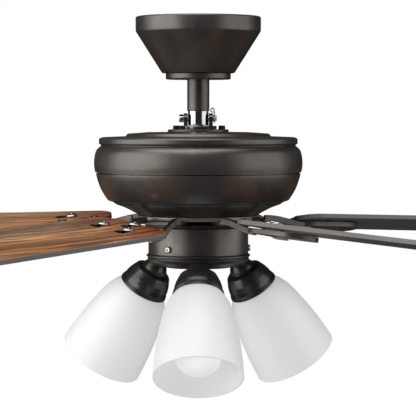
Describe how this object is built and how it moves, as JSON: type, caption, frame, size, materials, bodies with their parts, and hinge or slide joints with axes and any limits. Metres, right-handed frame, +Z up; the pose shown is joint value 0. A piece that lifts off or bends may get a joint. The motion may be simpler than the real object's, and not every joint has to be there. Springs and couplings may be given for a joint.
{
  "type": "ceiling fan with light",
  "caption": "Ceiling fan on a short downrod: domed canopy, bulged motor housing, pitched wood blades on open cast irons, and a light kit of tilted bell holders with frosted glass shades.",
  "frame": {"origin": "middle of the hanger bracket's top face, which lies against the ceiling", "axes": "+Z up, along the downrod towards the ceiling; -Y towards the front shade; +X to the right seen from the front"},
  "size_m": [1.2707, 1.2248, 0.4454],
  "materials": {
    "bronze_paint": "satin dark bronze, soft sheen",
    "dark_bronze": "semi-gloss near-black bronze",
    "cast_bronze": "satin bronze on a casting, darker in its recesses",
    "walnut": "satin walnut film on the top face, grey-brown edge and underside",
    "zinc_steel": "zinc plated pressed steel",
    "polished_steel": "polished",
    "nickel": "nickel plated",
    "black_steel": "black oxide",
    "windings": "laminated steel with copper windings",
    "black_plastic": "moulded, matt",
    "white_plastic": "moulded, matt",
    "frosted_glass": "white opal glass with a satin etched surface",
    "bulb_glass": "white coated lamp glass"
  },
  "bodies": {
    "ceiling_mount": {"hanger_bracket": "zinc_steel", "canopy": "bronze_paint", "canopy_trim_ring": "bronze_paint", "canopy_screw_1": "zinc_steel", "canopy_screw_2": "zinc_steel"},
    "fan_frame": {"hanger_ball": "black_plastic", "ball_cross_pin": "zinc_steel", "downrod": "bronze_paint", "motor_yoke": "polished_steel", "yoke_bolt": "polished_steel", "hairpin_cotter": "polished_steel", "motor_top_plate": "bronze_paint", "top_bolt_1": "black_steel", "top_bolt_2": "black_steel", "top_bolt_3": "black_steel", "top_bolt_4": "black_steel", "top_bolt_5": "black_steel", "upper_housing": "bronze_paint", "lower_housing": "bronze_paint", "motor_shaft": "zinc_steel", "stator": "windings", "switch_mount_plate": "bronze_paint", "switch_housing": "bronze_paint", "housing_screw_1": "nickel", "housing_screw_2": "nickel", "housing_screw_3": "nickel", "capacitor": "black_plastic", "reverse_switch_body": "black_plastic", "light_pan": "bronze_paint", "socket_holder_1": "dark_bronze", "socket_holder_2": "dark_bronze", "socket_holder_3": "dark_bronze", "lamp_socket_1": "white_plastic", "lamp_socket_2": "white_plastic", "lamp_socket_3": "white_plastic", "shade_ring_1": "white_plastic", "shade_ring_2": "white_plastic", "shade_ring_3": "white_plastic", "glass_shade_1": "frosted_glass", "glass_shade_2": "frosted_glass", "glass_shade_3": "frosted_glass", "bulb_1": "bulb_glass", "bulb_2": "bulb_glass", "bulb_3": "bulb_glass"},
    "rotor": {"rotor_upper_shell": "zinc_steel", "rotor_lower_shell": "zinc_steel", "upper_bearing": "zinc_steel", "lower_bearing": "zinc_steel", "flywheel": "bronze_paint", "blade_iron_1": "cast_bronze", "blade_iron_2": "cast_bronze", "blade_iron_3": "cast_bronze", "blade_iron_4": "cast_bronze", "blade_iron_5": "cast_bronze", "blade_1": "walnut", "blade_2": "walnut", "blade_3": "walnut", "blade_4": "walnut", "blade_5": "walnut"},
    "reverse_slider": {"reverse_knob": "black_plastic"}
  },
  "joints": [
    {"name": "ball_swing", "type": "hinge", "parent": "ceiling_mount", "child": "fan_frame", "pos_m": [0, 0, -0.03], "axis": [0, 1, 0], "range_deg": [-4, 4]},
    {"name": "fan_spin", "type": "hinge", "parent": "fan_frame", "child": "rotor", "pos_m": [0, 0, -0.24], "axis": [0, 0, 1], "continuous": true},
    {"name": "reverse_switch", "type": "slide", "parent": "fan_frame", "child": "reverse_slider", "axis": [0, 0, 1], "range_m": [0, 0.0055]}
  ]
}
